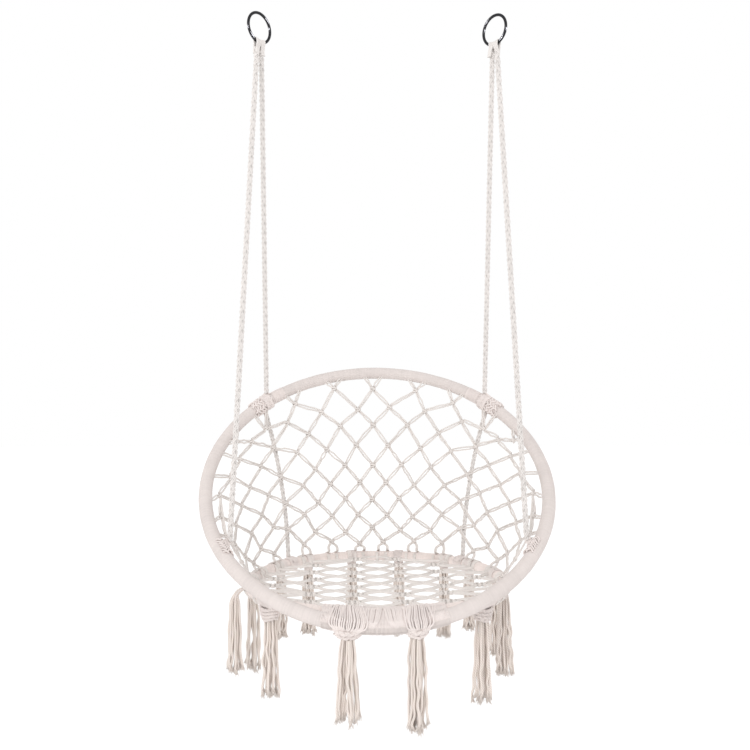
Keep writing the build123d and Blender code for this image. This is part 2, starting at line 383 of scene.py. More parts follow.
cover_cotton = cotton("wound_cotton", (0.70, 0.64, 0.615), (0.62, 0.56, 0.535), lay=0.008, ply_depth=0.0001,
                      fluff=0.3)
rope_cotton = cotton("rope_cotton", (0.79, 0.755, 0.735), (0.60, 0.56, 0.53), lay=0.010)
net_cotton = cotton("net_cotton", (0.78, 0.735, 0.705), (0.60, 0.55, 0.52))
seat_cotton = cotton("seat_ring_cotton", (0.82, 0.735, 0.70), (0.70, 0.62, 0.59), lay=0.008, ply_depth=0.0001)
lash_cotton = cotton("lashing_cotton", (0.81, 0.74, 0.715), (0.68, 0.61, 0.58))
tassel_cotton = cotton("tassel_cotton", (0.86, 0.785, 0.735), (0.43, 0.35, 0.29), lay=0.016, ply_depth=0.0007)
ring_steel = steel("ring_steel", (0.035, 0.035, 0.038), 0.12, 0.08)
tube_steel = steel("tube_steel", (0.45, 0.45, 0.46), 0.35, 0.2)


# ---------------------------------------------------------------- the wound covers
def winding(ring, name, material, turns, depth, body, node, bunch=0, around=16, across=5):
    """One cord wound tightly round a ring's tube, as a single helical surface. With a bunch, the first turn
    of each so many is sunk a little."""
    count = turns * across
    i = np.arange(count)
    j = np.arange(around)
    theta = (i[:, None] / across + j[None, :] / around) * 2 * pi / turns
    phi = np.broadcast_to(j * 2 * pi / around, theta.shape)
    phase = (i % across) / across
    uneven = np.repeat(rng.normal(0, 0.00008, turns), across)
    if bunch:
        sunk = np.arange(turns) % bunch == 0
        uneven -= np.repeat(sunk * rng.uniform(0.0005, 0.0010, turns), across)
    lumps = sum(0.00010 * np.sin(n * theta + rng.uniform(0, 6)) for n in (7, 19, 43))
    r = ring.tube - 0.0002 - depth * (1 - np.sin(pi * phase)**0.6)[:, None] + uneven[:, None] + lumps
    outward = np.cos(theta)[..., None] * X_AXIS + np.sin(theta)[..., None] * ring.slope
    points = (ring.centre + outward * (ring.radius + r * np.cos(phi))[..., None]
              + ring.normal * (r * np.sin(phi))[..., None])
    ii, jj = np.meshgrid(i, j, indexing="ij")
    ahead = np.where(jj == around - 1, across, 0)
    up = (jj + 1) % around

    def index(a, b):
        return (a % count) * around + b

    quads = np.stack([index(ii, jj), index(ii + 1, jj), index(ii + 1 + ahead, up), index(ii + ahead, up)], -1)
    girth = 2 * pi * ring.tube
    u0 = (ii // across + jj / around) * girth
    u = np.stack([u0, u0, u0 + girth / around, u0 + girth / around], -1)
    v0 = (ii % across) / across
    v = np.stack([v0, v0 + 1 / across, v0 + 1 / across, v0], -1)
    tones = np.repeat(np.repeat(rng.uniform(-1, 1, turns), across), around)
    cords = Cords()
    cords.add_surface(points.reshape(-1, 3), quads.reshape(-1, 4), np.stack([u, v], -1).reshape(-1, 2), tones)
    finish_piece(cords, name, material, body, [node])


winding(hoop, "hoop_cover_winding", cover_cotton, 1008, 0.0006, "backrest", "hoop_cover")
winding(seat, "seat_cover_winding", seat_cotton, 640, 0.0009, "seat", "seat_ring_cover", bunch=3)


# ---------------------------------------------------------------- ropes
def route(points):
    """The points of a smooth line that has these as its control points."""
    data = bpy.data.curves.new("route", "CURVE")
    data.dimensions = "3D"
    data.resolution_u = 24
    spline = data.splines.new("NURBS")
    spline.points.add(len(points) - 1)
    for control, p in zip(spline.points, points):
        control.co = (*p, 1)
    spline.order_u = 3
    spline.use_endpoint_u = True
    obj = bpy.data.objects.new("route", data)
    mesh = bpy.data.meshes.new_from_object(obj)
    line = np.array([v.co for v in mesh.vertices], float)
    bpy.data.objects.remove(obj)
    bpy.data.curves.remove(data)
    bpy.data.meshes.remove(mesh)
    return line


def resample(line, spacing):
    """A line's points at even steps, and how far along it each is."""
    length = lengths_along(line)
    at = np.linspace(0, length[-1], max(3, ceil(length[-1] / spacing)))
    return np.stack([np.interp(at, length, line[:, k]) for k in range(3)], -1), at


def braid(cords, line, diameter, lay, cord):
    """Four doubled strands braided round a core darkened as painted shade: two wind one way, over and under the
    other two.
    """
    line, at = resample(line, 0.0019)
    side, other = transport(line, start=(0.0, -1.0, 0.0))
    rise = diameter * 0.105
    mean = diameter / 2 - cord / 2 - rise
    drift = np.interp(at, np.linspace(0, at[-1], 9), rng.normal(0, 0.3, 9))
    for way in (1, -1):
        for which in (0, 1):
            wound = way * (2 * pi * at / lay + drift) + pi * which
            phi = wound + pi / 4
            radius = mean + way * rise * np.cos(2 * wound)
            out = side * np.cos(phi)[:, None] + other * np.sin(phi)[:, None]
            centre = line + out * radius[:, None]
            run = np.gradient(centre, axis=0)
            run /= np.linalg.norm(run, axis=1)[:, None]
            across = np.cross(run, out)
            for offset in (-0.5, 0.5):
                cords.add(centre + across * offset * cord * 0.96, cord / 2, sides=9)
    # painted shade: the core is darker than the strands, so the gaps between them read as shade
    cords.add(line[::2], diameter * 0.25, sides=9, tone=PAINTED_SHADE_IN_BRAIDS)


def ring_bottom(side_sign):
    """The lowest point of a hanging ring's wire, the way the wire runs there, and the ring's radius."""
    low, high = box(("left" if side_sign < 0 else "right") + "_hanging_ring")
    centre = (low + high) / 2
    radius = (high[2] - low[2]) / 2 - RING_WIRE_R
    turned = acos((high[0] - centre[0] - RING_WIRE_R) / radius)
    along = np.array((-side_sign * cos(turned), sin(turned), 0.0))
    return centre - Z_AXIS * radius, along, radius


def ring_loops(cords, side_sign, rear, towards):
    """The cords of one rope over the ring's wire, side by side, gathering into the head of the rope."""
    bottom, along, radius = ring_bottom(side_sign)
    through = np.cross(along, Z_AXIS)
    middle_offset = 2 * LOOP_CORD if rear else -2 * LOOP_CORD
    head = bottom + along * middle_offset + towards * 0.0185
    for step in (-1.5, -0.5, 0.5, 1.5):
        offset = middle_offset + step * LOOP_CORD
        lift = radius - sqrt(radius**2 - offset**2)
        base = bottom + along * offset + Z_AXIS * lift
        half = [
            head + along * step * 0.0020 + through * 0.0024 + towards * 0.010,
            head + along * step * 0.0024 + through * 0.0034,
            base + through * 0.0054 - Z_AXIS * 0.0066 - along * step * 0.0004,
            base + through * 0.0054 + Z_AXIS * 0.0002,
            base + through * 0.0038 + Z_AXIS * 0.0038,
        ]
        mirrored = [p - 2 * through * ((p - base) @ through) for p in half]
        line = smooth(half + [base + Z_AXIS * 0.0052] + mirrored[::-1], 0.0016)
        cords.add(line, LOOP_CORD / 2, sides=9)


def rope_ends(side_sign):
    """Where the front and the rear rope of one side run from and to."""
    bottom, along, _ = ring_bottom(side_sign)
    eye_front, eye_rear = bottom - along * 0.006, bottom + along * 0.006
    front_end = hoop.point(mirror(side_sign, FRONT_ROPE_ON_HOOP), hoop.radius - 0.026)
    tube = hoop.point(mirror(side_sign, REAR_ROPE_ON_HOOP))
    rear_end = tube + unit(eye_rear - tube) * 0.024
    return (eye_front, front_end), (eye_rear, rear_end)


def lower_rope_route(side_sign):
    top = hoop.point(mirror(side_sign, LOWER_ROPE_ON_HOOP), hoop.radius - 0.0075, -0.021)
    bottom = seat.point(mirror(side_sign, LOWER_ROPE_ON_SEAT), seat.radius + 0.0095, 0.017)
    bow = (top + bottom) / 2 + np.array((-side_sign * 0.022, 0.016, 0.0))
    return [top, bow, bottom]


for sign, word in SIDES:
    for (eye, end), kind in zip(rope_ends(sign), ("front", "rear")):
        down = unit(end - eye)
        start = eye + down * 0.014
        straight = route([start, start + down * 0.070, end - down * 0.070, end])
        cords = Cords()
        braid(cords, straight, ROPE_BRAID, ROPE_LAY, ROPE_CORD)
        rope = finish_piece(cords, f"{word}_{kind}_rope_braid", rope_cotton, "backrest",
                            [f"{word}_{kind}_rope"])
        loops = Cords()
        ring_loops(loops, sign, kind == "rear", down)
        head = finish_piece(loops, f"{word}_{kind}_rope_loops", rope_cotton, "rings",
                            blend=("backrest", eye, start))
    lower = route(lower_rope_route(sign))
    cords = Cords()
    braid(cords, lower, LOWER_BRAID, LOWER_LAY, LOWER_ROPE_CORD)
    finish_piece(cords, f"{word}_rear_rope_lower_braid", rope_cotton, "backrest",
                 [f"{word}_rear_rope_lower"], blend=("seat", lower[0], lower[-1]))


# ---------------------------------------------------------------- the back net
def net_hoop_angle(k):
    return 90.5 + 16.1 * k


def net_seat_angle(k):
    return 91.5 + 16.2 * k


def net_point(k, v):
    """A point of the back net: k counts columns from the middle to the left, v runs from the hoop to the seat."""
    top = hoop.point(net_hoop_angle(k), 0.364)
    bottom = seat.point(net_seat_angle(k), seat.radius, 0.017)
    return top + (bottom - top) * v


def net_frame(k, v):
    """Right, down and inward directions of the net at a point, seen from inside the chair."""
    right = unit(net_point(k - 0.05, v) - net_point(k + 0.05, v))
    down = net_point(k, v + 0.01) - net_point(k, v - 0.01)
    down = unit(down - right * (down @ right))
    return right, down, np.cross(right, down) * -1


# Rows of knots from the hoop down to the seat ring. In each row: nominal column, its place, share of the way down.
NET_GRID = {
    1: ((0, 0.0, 0.061), (1, 1.06, 0.045), (2, 2.13, 0.063), (3, 3.13, 0.113), (4, 4.20, 0.030)),
    2: ((0.5, 0.44, 0.171), (1.5, 1.39, 0.166), (2.5, 2.45, 0.150), (3.5, 3.65, 0.130)),
    3: ((0, 0.0, 0.272), (1, 0.92, 0.266), (2, 1.84, 0.272), (3, 2.98, 0.260), (4, 4.23, 0.150)),
    4: ((0.5, 0.43, 0.388), (1.5, 1.35, 0.391), (2.5, 2.23, 0.354), (3.5, 3.50, 0.330), (4.5, 4.80, 0.185)),
    5: ((0, 0.0, 0.497), (1, 0.82, 0.500), (2, 1.70, 0.485), (3, 2.85, 0.462), (4, 4.08, 0.400),
        (5, 5.72, 0.120)),
    6: ((0.5, 0.39, 0.605), (1.5, 1.23, 0.600), (2.5, 2.14, 0.571), (3.5, 3.38, 0.540), (4.5, 4.66, 0.460),
        (5.5, 6.35, 0.150)),
    7: ((0, 0.0, 0.707), (1, 0.79, 0.699), (2, 1.70, 0.698), (3, 2.75, 0.650), (4, 3.82, 0.644),
        (5, 5.36, 0.520), (6, 6.90, 0.200)),
    8: ((0.5, 0.44, 0.790), (1.5, 1.27, 0.797), (2.5, 2.19, 0.757), (3.5, 3.42, 0.761), (4.5, 4.51, 0.720),
        (5.5, 6.20, 0.550)),
    9: ((0, 0.0, 0.874), (1, 0.86, 0.890), (2, 1.86, 0.870), (3, 2.85, 0.820), (4, 4.20, 0.870),
        (5, 5.50, 0.811), (6, 6.85, 0.620)),
    10: ((0.5, 0.39, 0.961), (1.5, 1.34, 0.950), (2.5, 2.30, 0.935), (3.5, 3.60, 0.945), (4.5, 4.95, 0.940),
         (5.5, 6.20, 0.920)),
}
FIRST_ROW, LAST_ROW = 1, 10
# Knots at the net's sides that are tied to the hoop, and the place on it each is tied to
NET_EDGE = {(1, 4): 4.35, (3, 4): 4.75, (4, 4.5): 5.45, (5, 5): 6.15, (6, 5.5): 6.75, (7, 6): 7.15}
EDGE_KNOT_SIZE = 0.6
NET_ON_HOOP = 0.0125


def square_knot(cords, centre, right, down, inward, size):
    """Four cords tied in a square knot: two run straight through and two are tied round them."""
    d = NET_CORD * size

    def at(x, y, z):
        return centre + right * x * d + down * y * d + inward * z * d

    for x in (-0.5, 0.5):
        cords.add(smooth([at(x, -1.7, 0), at(x * 0.9, 0, 0), at(x, 1.7, 0)], 0.003), NET_CORD / 2)
    for way in (1, -1):
        tie = [(-1.5, -1.9, 0), (-1.55, -1.15, 0.2), (-0.8, -0.75, 1.0), (0.8, -0.45, 1.0), (1.6, -0.1, 0.1),
               (0.8, 0.45, 1.0), (-0.8, 0.75, 1.0), (-1.55, 1.15, 0.2), (-1.5, 1.9, 0)]
        cords.add(smooth([at(x * way, y, z * way) for x, y, z in tie], 0.0022), NET_CORD / 2)


def leg(cords, a, b, side, inward, bow=0.0):
    """A doubled cord from a to b: two cords side by side, not quite straight or parallel."""
    length = np.linalg.norm(b - a)
    for offset in (-0.5, 0.5):
        sway = rng.normal(0, 0.0006, 3)
        lift = rng.normal(0, 0.0005, 3)
        points = [a + side * offset * NET_CORD]
        for t, s, h in zip((0.3, 0.5, 0.72), sway, lift):
            wide = 1.0 + 0.35 * sin(pi * t)
            points.append(a + (b - a) * t + side * (offset * NET_CORD * wide + s + bow * sin(pi * t))
                          + inward * h)
        points.append(b + side * offset * NET_CORD)
        cords.add(smooth(points, max(0.0025, length / 24)), NET_CORD / 2, sides=7)


def straight_leg(cords, start, end, inward):
    leg(cords, start, end, unit(np.cross(end - start, inward)), inward)


def knot_corner(at, side, end, size):
    """Where a leg leaves a knot: side is -1 left or 1 right, end is -1 above or 1 below."""
    centre, right, down, _, _ = at
    return centre + right * side * 0.95 * NET_CORD + down * end * 1.4 * NET_CORD * size


def crown_loop(cords, start, right, angle):
    """A doubled cord from a knot of the last row down over the seat ring and round it."""
    for offset in (-0.5, 0.5):
        a = angle - offset * 0.72
        foot = seat.on_tube(a, 110, seat.tube + 0.0068)
        shoulder = start + (foot - start) * 0.42 + right * ((foot - start) @ right) * 0.52
        turn = [start + right * offset * NET_CORD, shoulder, foot, seat.on_tube(a, 88, seat.tube + 0.0016)]
        turn += [seat.on_tube(a + s * 0.12, 88 - s * 45, seat.tube + 0.0014) for s in range(1, 8)]
        cords.add(smooth(turn, 0.003), NET_CORD / 2, sides=7)


net = Cords()
knots = Cords()
knot_place = {}
for r, row in NET_GRID.items():
    for k, place, v in row:
        for sign in (1, -1) if k else (1,):
            kk = sign * place + rng.normal(0, 0.018)
            vv = v + rng.normal(0, 0.004)
            knot_place[r, sign * k] = (net_point(kk, vv), *net_frame(kk, vv), kk)

for (r, k), at in knot_place.items():
    centre, right, down, inward, kk = at
    size = 0.92 * (0.62 + 0.38 * (1 - abs(k) / 7))
    square_knot(knots, centre, right, down, inward, size)
    for side, way in ((1, -0.5), (-1, 0.5)):
        below = knot_place.get((r + 1, k + way))
        if below is not None:
            straight_leg(net, knot_corner(at, side, 1, size), knot_corner(below, -side, -1, size), inward)
    outer = -1 if k > 0 else 1
    if r == FIRST_ROW:
        for way in (-1, 1):
            end = hoop.on_tube(net_hoop_angle(kk) + way * 3.4, 180, NET_ON_HOOP)
            straight_leg(net, knot_corner(at, -way, -1, size), end, inward)
    elif (r, abs(k)) in NET_EDGE:
        end = hoop.on_tube(net_hoop_angle(-outer * NET_EDGE[r, abs(k)]), 180, NET_ON_HOOP)
        straight_leg(net, knot_corner(at, outer, -1, size), end, inward)
    if r == LAST_ROW:
        for side in (-1, 1):
            crown_loop(net, knot_corner(at, side, 1, size), right, net_seat_angle(kk) - side * 2.4)

for sign in (1, -1):
    side = -sign
    for upper, lower in (((5, 5), (7, 6)), ((7, 6), (9, 6))):
        a, b = knot_place[upper[0], sign * upper[1]], knot_place[lower[0], sign * lower[1]]
        start, end = knot_corner(a, side, 1, EDGE_KNOT_SIZE), knot_corner(b, side, -1, EDGE_KNOT_SIZE)
        leg(net, start, end, a[1], a[3], bow=side * 0.003)
    a = knot_place[9, 6 * sign]
    end = seat.on_tube(net_seat_angle(6.4 * sign), 100, seat.tube + 0.002)
    leg(net, knot_corner(a, side, 1, EDGE_KNOT_SIZE), end, a[1], a[3])

for cords, name, nodes in ((net, "back_net_cords", ["back_net"]), (knots, "back_net_knots", [])):
    share_between_rings(finish_piece(cords, name, net_cotton, "backrest", nodes, blend=BACK_BLEND))


# ---------------------------------------------------------------- the seat net
SEAT_STEP = 0.0706
SEAT_ROWS = [-0.2470 + SEAT_STEP * i for i in range(8)]
SEAT_COLUMNS = (-0.232, -0.148, -0.049, 0.053, 0.148, 0.232)
SEAT_INSIDE = seat.radius - seat.tube
SEAT_SAG = 0.006
KNOT_HALF = 0.0125


def seat_place(x, y):
    """A point of the seat net, x to the right and y to the back of the seat's centre; it sags a little."""
    drop = SEAT_SAG * max(0.0, 1 - (x * x + y * y) / 0.27**2)
    return seat.centre + X_AXIS * x + seat.slope * y - seat.normal * drop


def flat_knot(cords, x, y):
    """A fat square knot lying on its side in the seat net: five turns round two cords that run left and right,
    which are darkened as painted shade between the turns.
    """
    centre = seat_place(x, y)
    for y_side in (-0.0030, 0.0030):
        core = [centre + X_AXIS * t + seat.slope * y_side * (1 + 12 * abs(t))
                for t in (-0.014, -0.007, 0, 0.007, 0.014)]
        # painted shade: the two cords inside the turns are darker
        cords.add(smooth(core, 0.003), SEAT_CORD / 2, tone=PAINTED_SHADE_IN_KNOTS)
    for i, t in enumerate((-0.0114, -0.0057, 0.0, 0.0057, 0.0114)):
        wide = 0.0076 if abs(t) < 0.006 else 0.0066
        lean = 0.0022 if i % 2 == 0 else -0.0022
        loop = [centre + X_AXIS * (t + lean * sin(a)) + seat.slope * wide * sin(a) + seat.normal * 0.0029 * cos(a)
                for a in np.linspace(0, 2 * pi, 15)]
        cords.add(loop, SEAT_CORD * 0.40)


def pair(cords, points):
    """Two cords side by side along a route in the seat's plane."""
    line = smooth([seat_place(x, y) for x, y in points], 0.004)
    run = np.gradient(line, axis=0)
    side = np.cross(run / np.linalg.norm(run, axis=1)[:, None], seat.normal)
    weave = rng.normal(0, 0.0005, 2)
    for offset, lift in zip((-0.5, 0.5), weave):
        cords.add(line + side * offset * SEAT_CORD * 1.06 + seat.normal * lift, SEAT_CORD / 2, sides=7)


def tied_turns(cords, x, y):
    """Three turns of cord round the seat ring where a pair of the net's cords is tied to it."""
    for step in (-0.7, 0.0, 0.7):
        angle = np.degrees(np.arctan2(y, x)) + step + rng.normal(0, 0.06)
        turn = [seat.on_tube(angle, a, seat.tube + 0.0008) for a in range(0, 375, 15)]
        cords.add(turn, SEAT_CORD * 0.42, sides=7)


def edge_place(way, y):
    """Where the seat ring's inside is at a height y, on the left or the right."""
    y = max(-SEAT_INSIDE * 0.97, min(SEAT_INSIDE * 0.97, y))
    return way * sqrt(SEAT_INSIDE**2 - y * y), y


seat_net = Cords()
seat_knots = {}
for r, y in enumerate(SEAT_ROWS):
    room = sqrt(SEAT_INSIDE**2 - y * y)
    for c, x in enumerate(SEAT_COLUMNS):
        if abs(x) < room - 0.022:
            jitter = rng.normal(0, 0.0022, 2)
            seat_knots[r, c] = (x + jitter[0], y + jitter[1])

for (r, c), (x, y) in seat_knots.items():
    flat_knot(seat_net, x, y)
    for way in (-1, 1):
        neighbour = seat_knots.get((r, c + way))
        for up in (-1, 1):
            out_x, out_y = x + way * KNOT_HALF, y + up * 0.0045
            if neighbour is None:
                edge_x, edge_y = edge_place(way, y + up * 0.028)
                if abs(edge_x) > abs(out_x) + 0.004:
                    pair(seat_net, [(out_x, out_y), ((out_x + edge_x) / 2, (out_y + edge_y) / 2 + up * 0.003),
                                    (edge_x, edge_y)])
                    tied_turns(seat_net, edge_x, edge_y)
            elif way > 0:
                far = seat_knots.get((r + up, c + way))
                to_x, to_y = far or neighbour
                to_x -= KNOT_HALF
                back = -up if far else up
                mid_x = (x + neighbour[0]) / 2
                mid_y = (y + neighbour[1]) / 2 + up * (SEAT_STEP / 2 - 0.0025)
                pair(seat_net, [(out_x, out_y), (out_x * 0.6 + mid_x * 0.4, y + up * 0.022), (mid_x, mid_y),
                                (mid_x * 0.4 + to_x * 0.6, to_y + back * 0.022), (to_x, to_y + back * 0.0045)])

finish_piece(seat_net, "seat_net_cords", net_cotton, "seat", ["seat_net"])


# ---------------------------------------------------------------- lashings
def turns_round(cords, ring, degrees, length, distance, cord=LASH_CORD, wander=0.0):
    """Separate turns of cord round a ring's tube, side by side over a length."""
    count = max(2, round(length / (cord * 1.04)))
    step = np.degrees(length / count / ring.radius)
    for i in range(count):
        middle = degrees + (i - (count - 1) / 2) * step
        lean = rng.normal(0, wander)
        line = [ring.on_tube(middle + lean * cos(radians(a)), a, distance + rng.normal(0, 0.00012))
                for a in range(0, 375, 15)]
        cords.add(line, cord / 2, sides=7)


def knitting(cords, ring, degrees, length, distance, first, last, cord):
    """Rows of half hitches over part of a tube: short fat stitches that lean one way, then the other."""
    rows = max(2, round(radians(last - first) * distance / (cord * 1.8)))
    stitches = max(2, round(length / (cord * 1.95)))
    step = np.degrees(length / stitches / ring.radius)
    rise = (last - first) / rows
    for row in range(rows):
        lean = 1 if row % 2 == 0 else -1
        middle_around = first + (row + 0.5) * rise
        for i in range(stitches):
            a = degrees + (i - (stitches - 1) / 2 + 0.25 * lean + rng.normal(0, 0.07)) * step
            b = middle_around + rng.normal(0, 2.5)
            lift = rng.normal(0.0014, 0.0005)
            stitch = [ring.on_tube(a + lean * t * step, b + t * rise, distance + h)
                      for t, h in ((-0.72, -0.0012), (-0.3, lift), (0.3, lift), (0.72, -0.0012))]
            cords.add(smooth(stitch, 0.0022), cord / 2, sides=7)


def fanned_ends(cords, ring, start, towards, degrees, spread, from_around, to_around, distance):
    """A rope's seven cords spread side by side over a tube and go round it."""
    tangent = ring.tangent(degrees)
    for i in range(7):
        share = (i - 3) / 6
        points = [start - towards * 0.010 + tangent * share * 0.007, start + tangent * share * 0.010]
        points += [ring.on_tube(degrees + share * spread, around, distance + 0.0014)
                   for around in np.linspace(from_around, to_around, 9)]
        cords.add(smooth(points, 0.0026), LASH_CORD / 2, sides=7)


def rope_over_hoop(cords, side_sign, start, towards):
    """The rear rope's cords part in a V over the hoop and come together again as the lower rope."""
    degrees = mirror(side_sign, 43.6)
    tangent = hoop.tangent(degrees)
    top, bow, _ = lower_rope_route(side_sign)
    onward = unit(bow - top)
    for share in (-1.0, -0.72, -0.45, -0.15, 0.15, 0.45, 0.72, 1.0):
        spread = np.degrees(share * 0.0095 / hoop.radius)
        points = [start - towards * 0.012 + tangent * share * 0.0035,
                  start - towards * 0.002 + tangent * share * 0.0055]
        points += [hoop.on_tube(degrees + spread, around, 0.0212 + rng.normal(0, 0.0004))
                   for around in (75, 105, 135, 165, 195)]
        points += [top + tangent * share * 0.0045 + onward * t for t in (-0.004, 0.006, 0.016)]
        cords.add(smooth(points, 0.0026), FAN_CORD / 2, sides=7)


def lashing(cords, node, body):
    finish_piece(cords, f"{node}_cords", lash_cotton, body, [node])


for sign, word in SIDES:
    (eye_front, end_front), (eye_rear, end_rear) = rope_ends(sign)
    cords = Cords()
    turns_round(cords, hoop, mirror(sign, 41.8), 0.058, 0.0160, wander=0.08)
    knitting(cords, hoop, mirror(sign, 41.5), 0.056, 0.0170, -90, 270, cord=0.0046)
    turns_round(cords, hoop, mirror(sign, 49.4), 0.034, 0.0143, cord=0.0034, wander=0.05)
    rope_over_hoop(cords, sign, end_rear, unit(end_rear - eye_rear))
    lashing(cords, f"{word}_rear_hoop_lashing", "backrest")

    cords = Cords()
    knitting(cords, hoop, mirror(sign, -32.0), 0.042, 0.0164, 95, 265, cord=0.0032)
    fanned_ends(cords, hoop, end_front, unit(end_front - eye_front), mirror(sign, -30.2), 3.2, 165, 245, 0.0182)
    lashing(cords, f"{word}_front_hoop_lashing", "backrest")

    cords = Cords()
    lower_end = mirror(sign, LOWER_ROPE_ON_SEAT)
    turns_round(cords, seat, lower_end, 0.028, 0.0148, wander=0.15)
    _, bow, foot = lower_rope_route(sign)
    fanned_ends(cords, seat, foot, unit(foot - bow), lower_end, 4.5, 75, -200, 0.0150)
    lashing(cords, f"{word}_seat_lashing", "seat")


# ---------------------------------------------------------------- the front binding
BINDING_LOW, BINDING_HIGH = (corner[0] for corner in box("hoop_front_binding"))
BINDING_MARGIN = 0.002
BINDING_PITCH = 0.0027
UNDER_SEAT = (235, 200, 165, 130, 95)
# How far each centre knot's fan of cords spreads over the binding, to the left and to the right
KNOT_REACH = {float(PIVOTS["centre_left_tassel"][0]): (0.030, 0.030),
              float(PIVOTS["centre_right_tassel"][0]): (0.019, 0.026)}


def close_layer(cords):
    """Turns side by side from under the seat ring up and over the hoop."""
    for x in np.arange(BINDING_LOW + BINDING_MARGIN, BINDING_HIGH - BINDING_MARGIN, BINDING_PITCH):
        points = [seat.at_front(x, a, seat.tube + 0.0004) for a in (*UNDER_SEAT, 65)]
        points += [hoop.at_front(x, a, hoop.tube + 0.0006) for a in (50, 30, 12)]
        points += [hoop.at_front(x, 2, hoop.tube - 0.002)]
        cords.add(smooth(points, 0.003), 0.0014, sides=7)


def loose_layer(cords):
    """Turns over the close layer that lean towards the knots, left out where a knot's own cords run."""
    x = BINDING_LOW + BINDING_MARGIN
    level = 0
    while x < BINDING_HIGH - BINDING_MARGIN:
        knot_x = min(KNOT_REACH, key=lambda k: abs(k - x))
        away = x - knot_x
        level = (level + 1) % 3
        up = 0.0020 + level * 0.0004
        lean = -away * 0.24
        wobble = rng.normal(0, 0.0006)
        if not -KNOT_REACH[knot_x][0] < away < KNOT_REACH[knot_x][1]:
            points = [seat.at_front(x, a, seat.tube + up) for a in (*UNDER_SEAT, 70)]
            points += [seat.at_front(x + lean * 0.15 + wobble, 50, seat.tube + up + 0.0006),
                       hoop.at_front(x + lean * 0.5 + wobble, 52, hoop.tube + up),
                       hoop.at_front(x + lean * 0.8, 32, hoop.tube + up * 0.6),
                       hoop.at_front(x + lean, 14, hoop.tube - 0.0006),
                       hoop.at_front(x + lean, 0, hoop.tube - 0.0030)]
            cords.add(smooth(points, 0.003), 0.00145, sides=7)
        x += BINDING_PITCH


cords = Cords()
turns_round(cords, hoop, -90 + np.degrees((BINDING_LOW + BINDING_HIGH) / 2 / hoop.radius), 0.242, 0.0150,
            cord=BINDING_CORD, wander=0.02)
finish_piece(cords, "hoop_front_binding_cords", cover_cotton, "backrest", ["hoop_front_binding"])

cords = Cords()
close_layer(cords)
loose_layer(cords)
share_between_rings(finish_piece(cords, "seat_front_binding_cords", lash_cotton, "backrest",
                                 ["seat_front_binding"], blend=FRONT_BLEND))


# ---------------------------------------------------------------- hitches and knots above the tassels
def tassel_angle(name):
    v = PIVOTS[f"{name}_tassel"] - seat.centre
    return float(np.degrees(np.arctan2(v @ seat.slope, v @ X_AXIS)))


def hitch(name, degrees, wide):
    """Cord turns on the seat ring above a tassel, gathered below it into the tassel's neck."""
    pivot = PIVOTS[f"{name}_tassel"]
    cords = Cords()
    count = 16 if wide else 7
    spread = 0.052 if wide else 0.022
    step = np.degrees(spread / count / seat.radius)
    tangent = seat.tangent(degrees)
    outward = seat.outward(degrees)
    arched = name == ARCHED_TASSEL
    neck = pivot + Z_AXIS * 0.009
    for i in range(count):
        share = (i - (count - 1) / 2) / (count - 1)
        a = degrees + (i - (count - 1) / 2) * step
        if arched:
            line = [seat.on_tube(a, s, seat.tube + 0.0014) for s in np.linspace(200, 40, 8)]
            line += [pivot + outward * x + tangent * share * 0.012 + Z_AXIS * z
                     for x, z in ((-0.004, 0.021), (0.006, 0.016), (0.013, 0.004), (0.014, -0.006))]
        else:
            turn = [seat.on_tube(a, s, seat.tube + 0.0014) for s in np.linspace(-60, 240, 13)]
            front = neck + tangent * share * 0.012 + outward * 0.006
            back = neck + tangent * share * 0.012 - outward * 0.006
            line = [front - Z_AXIS * 0.006, front] + turn + [back, back - Z_AXIS * 0.006]
        cords.add(smooth(line, 0.0028), LASH_CORD / 2, sides=7)
    if wide:
        for z, half, deep in ((0.010, 0.027, 0.0150), (0.003, 0.026, 0.0145), (-0.004, 0.023, 0.0135),
                              (-0.011, 0.018, 0.0120)):
            band = [pivot + tangent * half * cos(a) + outward * deep * sin(a) + Z_AXIS * (z + 0.006 * cos(a)**2)
                    for a in np.linspace(0, 2 * pi * 1.02, 40)]
            braid(cords, np.array(band), 0.0082, 0.021, 0.0023)
    elif not arched:
        for z, radius in ((0.011, 0.0100), (0.0082, 0.0108), (0.0054, 0.0104), (0.0026, 0.0094)):
            circle = [pivot + Z_AXIS * (z + 0.0009 * sin(a)) + tangent * radius * cos(a)
                      + outward * radius * 0.85 * sin(a) for a in np.linspace(0, 2 * pi * 1.02, 22)]
            cords.add(circle, LASH_CORD / 2, sides=7)
    lashing(cords, f"{name}_hitch", "seat")


